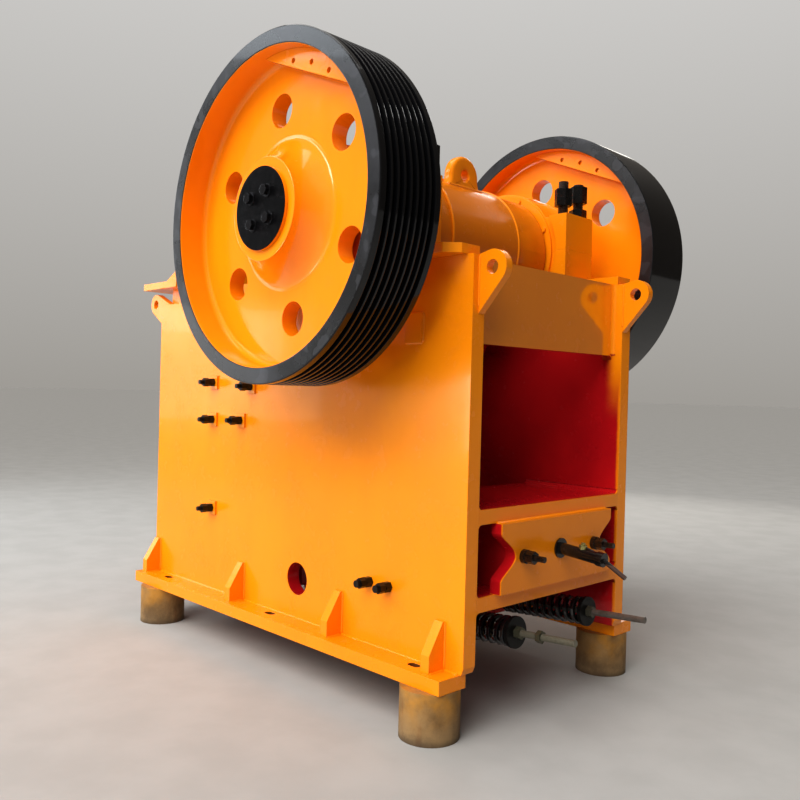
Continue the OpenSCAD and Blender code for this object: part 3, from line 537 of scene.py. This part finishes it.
def weld_finish(name, depth=0.001, coat=0.4):
    """Orange enamel over the fine ripples of a weld."""
    s = Shade(name)
    tone, rough, relief = enamel(s, ORANGE, ORANGE_DEEP)
    return s.finish(tone, rough - 0.05, 0.0, s.noise(160.0, 3.0) * 0.5, depth, coat, 0.35)


def fillet_paint():
    """Smoothed corners beside the rear panel, dark red at their lower ends."""
    s = Shade("corner_fillets")
    tone, rough, relief = enamel(s, ORANGE, ORANGE_DEEP)
    wander = s.noise(20.0, 2.0) * 0.01
    panel_foot = BASE_Z + PANEL_LOW
    foot = (s.z + wander).ramp(panel_foot + 0.008, panel_foot + 0.022, 1.0, 0.0)
    tone = s.mix(foot, tone, RED_DEEP)
    return s.finish(tone, rough, 0.0, s.noise(30.0, 2.0) * 0.6, 0.002, 0.45, 0.35)


orange = orange_paint()
red = red_paint()
flange_orange = flange_paint()
shelf_paint = rear_face_paint("shelves", REAR_X)
jaws = jaw_steel()
springs = spring_finish()
finishes = {
    "near_side_plate": side_plate_paint(-1),
    "far_side_plate": side_plate_paint(1),
    "front_wall": two_tone("front_wall", lambda s: s.x < FRONT_WALL_X),
    "front_ribs": orange,
    "feed_lip": orange,
    "rear_top_panel": rear_panel_paint(),
    "upper_shelf": shelf_paint,
    "lower_shelf": shelf_paint,
    "notched_plate": notched_plate_paint(),
    "near_base_flange": flange_orange,
    "far_base_flange": flange_orange,
    "near_gussets": orange,
    "far_gussets": orange,
    "stands": stand_finish(),
    "near_bearing_base": orange,
    "far_bearing_base": orange,
    "near_bearing_cap": orange,
    "far_bearing_cap": orange,
    "bearing_covers": orange,
    "cap_studs": studs(),
    "lifting_lugs": orange,
    "near_cheek_plates": jaws,
    "far_cheek_plates": jaws,
    "cheek_bolts": black_iron(
        "cheek_bolts", 0.6, 0.30, 0.0182, 0.0040, CHEEK_BOLTS + GUIDE_BOLTS
    ),
    "bolt_pads": orange,
    "fixed_jaw": jaws,
    "toggle_plate": worn_steel("toggle_plate", (0.16, 0.14, 0.12), (0.07, 0.06, 0.05), 0.5, 0.5),
    "adjusting_seat": red,
    "seat_bolts": seat_bolt_finish(),
    "adjusting_jack": jack_finish(),
    "spring_brackets": red,
    "eccentric_shaft": worn_steel("eccentric_shaft", STEEL, (0.24, 0.22, 0.20), 0.25, 0.3),
    "belt_pulley": wheel_paint("belt_pulley", PULLEY_MID),
    "flywheel": wheel_paint("flywheel", FLYWHEEL_MID),
    "hub_caps": cap_paint(),
    "pulley_weight": orange,
    "flywheel_weight": orange,
    "pitman": pitman_paint(),
    "pitman_eye": orange,
    "swing_jaw": jaws,
    "jaw_clamp": red,
    "tension_rods": rod_steel(),
    "near_spring": springs,
    "far_spring": springs,
}
for name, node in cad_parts.items():
    node.data.materials.clear()
    node.data.materials.append(finishes[name])


def piece(name, shape, material, body, crease=180.0):
    """Makes an object of a finished bmesh, smooth but for creases, and lets it ride on a body."""
    bmesh.ops.recalc_face_normals(shape, faces=shape.faces)
    for face in shape.faces:
        face.smooth = True
    for edge in shape.edges:
        edge.smooth = edge.calc_face_angle(0.0) < math.radians(crease)
    mesh = bpy.data.meshes.new(name)
    shape.to_mesh(mesh)
    shape.free()
    mesh.materials.append(material)
    made = bpy.data.objects.new(name, mesh)
    bpy.context.scene.collection.objects.link(made)
    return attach(made, body)


def bead(shape, start, end, radius):
    """Adds one rippled weld bead between two points of the body's own frame."""
    a, b = Vector(start), Vector(end)
    run = b - a
    turn = run.to_track_quat("Z", "Y").to_matrix().to_4x4()
    place = Matrix.Translation((a + b) / 2 + Vector((REAR_X, MID_Y, BASE_Z))) @ turn
    made = bmesh.ops.create_cone(
        shape, cap_ends=True, segments=8, radius1=radius, radius2=radius,
        depth=run.length, matrix=place,
    )
    axis = run.normalized()
    first = a + Vector((REAR_X, MID_Y, BASE_Z))
    long_edges = [
        e
        for e in {e for v in made["verts"] for e in v.link_edges}
        if abs((e.verts[1].co - e.verts[0].co).normalized().dot(axis)) > 0.9
    ]
    cuts = max(3, int(run.length / 0.005))
    bmesh.ops.subdivide_edges(shape, edges=long_edges, cuts=cuts, use_grid_fill=False)
    step = run.length / (cuts + 1)
    for v in shape.verts:
        if v.tag:
            continue
        v.tag = True
        along = (v.co - first).dot(axis)
        centre = first + axis * along
        ring = round(along / step)
        swell = (1.0, 1.12, 1.05)[ring % 3] * (1.0 + 0.08 * math.sin(ring * 0.37))
        if ring == 0 or ring == cuts + 1:
            swell = 0.55
        v.co = centre + (v.co - centre) * swell


def welds():
    """Beads along the joints of gussets, flanges, pads and lugs."""
    shape = bmesh.new()
    (x0, z0), (x1, z1) = PAD_LOW, PAD_HIGH
    pad = ((x0, z0), (x1, z0), (x1, z1), (x0, z1))
    for side in (-1, 1):
        face = side * SIDE_OUT
        for x in GUSSETS_X:
            for edge in (x - GUSSET_HALF, x + GUSSET_HALF):
                bead(shape, (edge, face, 0.070), (edge, face, 0.282), 0.006)
                root, tip = face + side * 0.004, face + side * 0.097
                bead(shape, (edge, root, FLANGE_TOP), (edge, tip, FLANGE_TOP), 0.006)
        front, rear = FLANGE_ENDS
        bead(shape, (front, face, FLANGE_TOP), (rear, face, FLANGE_TOP), 0.007)
        for a, b in zip(pad, pad[1:] + pad[:1]):
            bead(shape, (a[0], face, a[1]), (b[0], face, b[1]), 0.008)
        for y in (side * LUG_SIDES[0], side * LUG_SIDES[1]):
            bead(shape, (0.001, y, 1.700), (0.001, y, 1.925), 0.005)
            bead(shape, (-2.801, y, 1.735), (-2.801, y, 1.860), 0.005)
    return piece("weld_beads", shape, weld_finish("weld_beads"), "frame")


def corner_fillets():
    """Hollow fillets between the rear panel and the side plates, ground smooth."""
    shape = bmesh.new()
    r = 0.021
    for side in (-1, 1):
        wall = side * SIDE_IN
        start = shape.verts.new((PANEL_X, wall - side * r, PANEL_LOW + 0.002))
        arc = bmesh.ops.spin(
            shape, geom=[start], cent=(PANEL_X + r, wall - side * r, 0.0), axis=(0.0, 0.0, 1.0),
            angle=-side * math.pi / 2, steps=10,
        )
        end = arc["geom_last"][0]
        corner = shape.verts.new((PANEL_X - 0.0006, wall + side * 0.0006, PANEL_LOW + 0.002))
        edges = [e for e in shape.edges if all(v.co.y * side > 0 for v in e.verts)]
        edges += [shape.edges.new((end, corner)), shape.edges.new((corner, start))]
        face = bmesh.ops.contextual_create(shape, geom=edges)["faces"]
        grown = bmesh.ops.extrude_face_region(shape, geom=face)
        top = [v for v in grown["geom"] if isinstance(v, bmesh.types.BMVert)]
        bmesh.ops.translate(shape, verts=top, vec=(0.0, 0.0, SIDE_TOP - PANEL_LOW - 0.004))
    bmesh.ops.translate(shape, verts=shape.verts, vec=(REAR_X, MID_Y, BASE_Z))
    return piece("corner_fillets", shape, fillet_paint(), "frame", 35.0)


def seat_fillet():
    """Low weld, ground smooth, between the upper shelf's edge and the top of the notched plate."""
    shape = bmesh.new()
    high, half = 0.007, 0.452
    foot = SEAT_TOP - 0.0005
    start = shape.verts.new((REAR_X - 0.001, MID_Y - half, BASE_Z + SEAT_TOP + high))
    end = shape.verts.new((REAR_X + 0.012, MID_Y - half, BASE_Z + foot))
    corner = shape.verts.new((REAR_X - 0.001, MID_Y - half, BASE_Z + foot))
    face = [shape.faces.new((start, end, corner))]
    grown = bmesh.ops.extrude_face_region(shape, geom=face)
    far = [v for v in grown["geom"] if isinstance(v, bmesh.types.BMVert)]
    bmesh.ops.translate(shape, verts=far, vec=(0.0, 2 * half, 0.0))
    finish = weld_finish("seat_fillet", 0.0003)
    return piece("seat_fillet", shape, finish, "frame", 35.0)


def weight_bolts():
    """Threaded ends of the bolts that hold the two weights, just below the weights' faces."""
    shape = bmesh.new()
    hole_at, r = 0.6837, 0.0085
    flat = Matrix.Rotation(math.pi / 2, 4, "X")
    for side, y0, y1 in ((-1, 1.0605, 1.1290), (1, 0.9940, 1.0405)):
        for lean in (-12.0, 0.0, 12.0):
            turn = WEIGHT_TURN - math.radians(lean)
            x, z = SHAFT_X + hole_at * math.cos(turn), SHAFT_Z + hole_at * math.sin(turn)
            made = bmesh.ops.create_cone(
                shape, cap_ends=True, segments=16, radius1=r, radius2=r, depth=y1 - y0,
                matrix=Matrix.Translation((x, MID_Y + side * (y0 + y1) / 2, z)) @ flat,
            )
            rims = {e for v in made["verts"] for e in v.link_edges if len(e.link_faces) == 2}
            sharp = [e for e in rims if e.calc_face_angle(0.0) > 1.0]
            bmesh.ops.bevel(
                shape, geom=sharp, offset=0.0014, segments=2, profile=0.5,
                affect="EDGES", material=-1,
            )
    finish = orange_paint("weight_bolts", 0.0)
    return piece("weight_bolts", shape, finish, "rotor", 35.0)


def hub_cove(name, face_y, side):
    """Smooth cove between a wheel's web and its hub, with a tighter turn at its foot."""
    shape = bmesh.new()
    web = face_y - side * 0.138
    foot_r, lip_r, small, large = 0.372, 0.2405, 0.070, 0.1875
    first, second = math.radians(28.0), math.radians(51.0)
    x, y = SHAFT_X + foot_r, web - side * 0.0004
    foot = shape.verts.new((x, y, SHAFT_Z))
    turn = (0.0, 0.0, 1.0)
    toe = bmesh.ops.spin(
        shape, geom=[foot], cent=(x, y + side * small, SHAFT_Z), axis=turn,
        angle=-side * first, steps=8,
    )["geom_last"][0]
    cx, cy = toe.co.x + large * math.sin(first), toe.co.y + side * large * math.cos(first)
    crown = bmesh.ops.spin(
        shape, geom=[toe], cent=(cx, cy, SHAFT_Z), axis=turn, angle=-side * second, steps=20
    )["geom_last"][0]
    lip = shape.verts.new((SHAFT_X + lip_r, face_y + side * 0.0003, SHAFT_Z))
    deep = shape.verts.new((SHAFT_X + lip_r, web - side * 0.003, SHAFT_Z))
    under = shape.verts.new((x + 0.002, web - side * 0.003, SHAFT_Z))
    for a, b in ((crown, lip), (lip, deep), (deep, under), (under, foot)):
        shape.edges.new((a, b))
    bmesh.ops.spin(
        shape, geom=shape.verts[:] + shape.edges[:], cent=(SHAFT_X, 0.0, SHAFT_Z),
        axis=(0.0, 1.0, 0.0), angle=2 * math.pi, steps=144, use_merge=True,
    )
    return piece(name, shape, orange_paint(name, 0.0, 1.0), "rotor", 35.0)


def drum_lips():
    """Rounded lips at the two ends of the pitman's drum."""
    shape = bmesh.new()
    for side in (-1, 1):
        middle = (ECC_X + DRUM_R - 0.0015, MID_Y + side * (DRUM_HALF - 0.006), ECC_Z)
        ring = bmesh.ops.create_circle(
            shape, cap_ends=False, segments=14, radius=0.0075, matrix=Matrix.Translation(middle)
        )
        edges = list({e for v in ring["verts"] for e in v.link_edges})
        bmesh.ops.spin(
            shape, geom=ring["verts"] + edges, cent=(ECC_X, 0.0, ECC_Z), axis=(0.0, 1.0, 0.0),
            angle=2 * math.pi, steps=128, use_merge=True,
        )
    finish = orange_paint("drum_lips", 0.0, 0.5)
    return piece("drum_lips", shape, finish, "pitman", 60.0)


def jack_nipple():
    """Brass hexagon nipple on top of the adjusting jack, over its square foot."""
    shape = bmesh.new()
    tube = Matrix.Rotation(math.pi / 2 + JACK_TILT, 4, "Y")
    jack = Matrix.Translation((NOTCH_FACE, MID_Y, JACK_Z)) @ tube
    upright = Matrix.Rotation(-math.pi / 2, 4, "Y")
    nipple_at = 0.128
    for low, high, r, sides in ((0.022, 0.047, 0.0200, 6), (0.046, 0.057, 0.0105, 16)):
        place = jack @ Matrix.Translation((-(low + high) / 2, 0.0, nipple_at)) @ upright
        made = bmesh.ops.create_cone(
            shape, cap_ends=True, segments=sides, radius1=r, radius2=r * 0.97,
            depth=high - low, matrix=place,
        )
        rims = {e for v in made["verts"] for e in v.link_edges if e.calc_face_angle(0.0) > 0.8}
        bmesh.ops.bevel(
            shape, geom=list(rims), offset=0.0020, segments=3, profile=0.5,
            affect="EDGES", material=-1,
        )
    s = Shade("jack_nipple")
    patch = s.noise(60.0, 4.0).ramp(0.45, 0.75)
    tone = s.mix(patch * 0.5, BRASS, (0.16, 0.13, 0.06))
    brass = s.finish(tone, 0.22 + patch * 0.2, 0.85, s.noise(120.0, 2.0), 0.0004)
    return piece("jack_nipple", shape, brass, "frame", 35.0)


def lifting_eye():
    """Cast lifting eye over the pitman's drum, with round edges and a flared foot."""
    shape = bmesh.new()
    x, z, r, hole_r, thick = EYE_FRONT, SHAFT_Z + 0.358, 0.112, 0.032, 0.066
    leg_h, flare = 0.075, 0.027
    middle = Vector((0.0, MID_Y, z + 0.004))
    flat = Matrix.Rotation(math.pi / 2, 4, "Y")
    rim = bmesh.ops.create_circle(
        shape, cap_ends=False, segments=64, radius=r,
        matrix=Matrix.Translation((x, MID_Y, z)) @ flat,
    )["verts"]
    bmesh.ops.create_circle(
        shape, cap_ends=False, segments=64, radius=hole_r,
        matrix=Matrix.Translation((x, MID_Y, z + 0.004)) @ flat,
    )
    # The rim's lower half becomes two flared legs and, between them, the sole
    for v in rim:
        down = math.atan2(z - v.co.z, abs(v.co.y - MID_Y)) / (math.pi / 2)
        if down > 0.01:
            side = 1 if v.co.y > MID_Y else -1
            leg, sole = min(down / 0.6, 1.0), max(down - 0.6, 0.0) / 0.4
            v.co.z = z - leg_h * leg
            v.co.y = MID_Y + side * (r + flare * leg**2) * (1.0 - sole)
    bmesh.ops.bridge_loops(shape, edges=shape.edges)
    grown = bmesh.ops.extrude_face_region(shape, geom=shape.faces)
    far = [v for v in grown["geom"] if isinstance(v, bmesh.types.BMVert)]
    bmesh.ops.translate(shape, verts=far, vec=(thick, 0.0, 0.0))
    bmesh.ops.recalc_face_normals(shape, faces=shape.faces)
    sharp = [e for e in shape.edges if e.calc_face_angle(0.0) > 1.2 and e.calc_length() < 0.030]
    outer, inner = [], []
    for e in sharp:
        spot = (e.verts[0].co + e.verts[1].co) / 2
        away = math.hypot(spot.y - middle.y, spot.z - middle.z)
        if away < 0.040:
            inner.append(e)
        elif spot.z > z - 0.074:
            outer.append(e)
    for edges, size, steps in ((outer, 0.022, 6), (inner, 0.008, 4)):
        bmesh.ops.bevel(
            shape, geom=edges, offset=size, segments=steps, profile=0.5, affect="EDGES", material=-1
        )
    finish = orange_paint("lifting_eye", 0.0, 0.3)
    made = piece("lifting_eye", shape, finish, "pitman", 35.0)
    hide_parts("pitman_eye")
    return made


def eye_fillet():
    """Soft joint between the lifting eye's foot and the pitman's drum."""
    shape = bmesh.new()
    for x in (EYE_FRONT, EYE_REAR):
        z = ECC_Z + math.sqrt(DRUM_R**2 - (x - ECC_X) ** 2)
        place = Matrix.Translation((x, MID_Y, z)) @ Matrix.Rotation(math.pi / 2, 4, "X")
        bmesh.ops.create_cone(
            shape, cap_ends=True, segments=20, radius1=0.009, radius2=0.009,
            depth=0.272, matrix=place,
        )
    return piece("eye_fillet", shape, weld_finish("eye_fillet"), "pitman", 35.0)


welds()
corner_fillets()
seat_fillet()
weight_bolts()
hub_cove("pulley_cove", PULLEY_FACE, -1)
hub_cove("flywheel_cove", FLYWHEEL_FACE, 1)
drum_lips()
lifting_eye()
jack_nipple()
eye_fillet()


def camera():
    """Camera at the photograph's place and angle."""
    lens = bpy.data.cameras.new("camera")
    lens.lens = 37.16
    lens.sensor_width = 36.0
    made = bpy.data.objects.new("camera", lens)
    right = Vector((0.696, 0.7176, 0.026)).normalized()
    back = Vector((0.7177, -0.6963, 0.0084))
    back = (back - right * back.dot(right)).normalized()
    up = back.cross(right)
    turn = Matrix((right, up, back)).transposed().to_4x4()
    made.matrix_world = Matrix.Translation((3.7208, -3.4433, 1.5388)) @ turn
    bpy.context.scene.collection.objects.link(made)
    bpy.context.scene.camera = made


def area(name, place, target, size, power, tint=(1.0, 1.0, 1.0), mirrored=True):
    """A soft box at a place, aimed at a target; glossy surfaces show it if it is mirrored."""
    lamp = bpy.data.lights.new(name, "AREA")
    lamp.shape = "RECTANGLE"
    lamp.size, lamp.size_y = size
    lamp.energy = power
    lamp.color = tint
    made = bpy.data.objects.new(name, lamp)
    aim = (Vector(target) - Vector(place)).to_track_quat("-Z", "Y").to_matrix().to_4x4()
    made.matrix_world = Matrix.Translation(place) @ aim
    made.visible_glossy = mirrored
    bpy.context.scene.collection.objects.link(made)


def sun(name, direction, power, spread, tint):
    """Even soft light from far away, along a direction."""
    lamp = bpy.data.lights.new(name, "SUN")
    lamp.energy = power
    lamp.angle = math.radians(spread)
    lamp.color = tint
    made = bpy.data.objects.new(name, lamp)
    made.matrix_world = Vector(direction).to_track_quat("-Z", "Y").to_matrix().to_4x4()
    made.visible_glossy = False
    bpy.context.scene.collection.objects.link(made)


def floor():
    """Plain pale floor."""
    shape = bmesh.new()
    bmesh.ops.create_grid(shape, x_segments=2, y_segments=2, size=300.0)
    mesh = bpy.data.meshes.new("floor")
    shape.to_mesh(mesh)
    shape.free()
    made = bpy.data.objects.new("floor", mesh)
    bpy.context.scene.collection.objects.link(made)
    s = Shade("floor")
    tone = s.mix(s.noise(3.0, 4.0).ramp(0.3, 0.7), FLOOR_DARK, FLOOR_LIGHT)
    mesh.materials.append(s.finish(tone, 0.80, shine=0.2))


def sky():
    """Dim warm room for reflections, lighter on the pulley's side, with a plain pale backdrop."""
    world = bpy.data.worlds.new("studio")
    world.use_nodes = True
    tree = world.node_tree
    room, wall = tree.nodes["Background"], tree.nodes.new("ShaderNodeBackground")
    room.inputs["Strength"].default_value = 1.0
    place = tree.nodes.new("ShaderNodeTexCoord")
    height = tree.nodes.new("ShaderNodeSeparateXYZ")
    tree.links.new(place.outputs["Generated"], height.inputs[0])
    backdrop = tree.nodes.new("ShaderNodeValToRGB")
    backdrop.color_ramp.elements[0].color = (*BACKDROP_LOW, 1.0)
    backdrop.color_ramp.elements[1].color = (*BACKDROP, 1.0)
    backdrop.color_ramp.elements[1].position = 0.45
    tree.links.new(height.outputs["Z"], backdrop.inputs["Fac"])
    tree.links.new(backdrop.outputs["Color"], wall.inputs["Color"])
    side = tree.nodes.new("ShaderNodeVectorMath")
    side.operation = "DOT_PRODUCT"
    side.inputs[1].default_value = (-0.45, -0.75, 0.48)
    tree.links.new(place.outputs["Generated"], side.inputs[0])
    fade = tree.nodes.new("ShaderNodeValToRGB")
    fade.color_ramp.elements[0].color = (*ROOM_DARK, 1.0)
    fade.color_ramp.elements[1].color = (*ROOM_LIGHT, 1.0)
    span = tree.nodes.new("ShaderNodeMapRange")
    span.inputs["From Min"].default_value = -0.6
    tree.links.new(side.outputs["Value"], span.inputs["Value"])
    tree.links.new(span.outputs["Result"], fade.inputs["Fac"])
    tree.links.new(fade.outputs["Color"], room.inputs["Color"])
    path = tree.nodes.new("ShaderNodeLightPath")
    pick = tree.nodes.new("ShaderNodeMixShader")
    tree.links.new(path.outputs["Is Camera Ray"], pick.inputs[0])
    tree.links.new(room.outputs[0], pick.inputs[1])
    tree.links.new(wall.outputs[0], pick.inputs[2])
    tree.links.new(pick.outputs[0], tree.nodes["World Output"].inputs["Surface"])
    bpy.context.scene.world = world


def studio():
    """Soft light from above and the pulley's side, with boxes and strips that draw highlights."""
    middle = (0.0, -0.2, 1.3)
    sun("overhead", (-0.16, 0.68, -0.72), 3.15, 50.0, (1.0, 0.98, 0.95))
    area("top", (-0.5, -0.5, 8.0), middle, (5.0, 5.0), 150.0)
    area("strip", (-3.6, -10.1, 7.0), middle, (2.8, 1.7), 150.0, (1.0, 0.98, 0.96))
    area("post", (-4.6, -8.6, 1.7), middle, (1.6, 2.2), 90.0)
    area("windows", (-6.5, -8.0, 8.2), middle, (7.0, 2.2), 240.0, (0.86, 0.93, 1.0))
    area("tall box", (-8.6, -2.9, 4.2), (0.0, -0.6, 2.0), (4.0, 3.6), 150.0, (0.90, 0.95, 1.0))
    area("low box", (-7.4, -5.2, 1.9), (0.0, -0.6, 1.4), (2.6, 1.7), 32.0, (0.96, 0.98, 1.0))
    area("roof", (-0.5, 8.0, 8.4), middle, (9.0, 0.5), 90.0)
    soft = (1.0, 0.98, 0.96)
    area("fill", (2.6, -8.6, 3.4), middle, (3.0, 3.0), 130.0, soft, mirrored=False)
    area("far", (-3.0, 8.0, 4.0), middle, (4.0, 4.0), 110.0, (1.0, 0.96, 0.90))
    view = bpy.context.scene.view_settings
    view.view_transform = "Standard"
    view.look = "None"
    view.gamma = 0.85


camera()
floor()
sky()
studio()
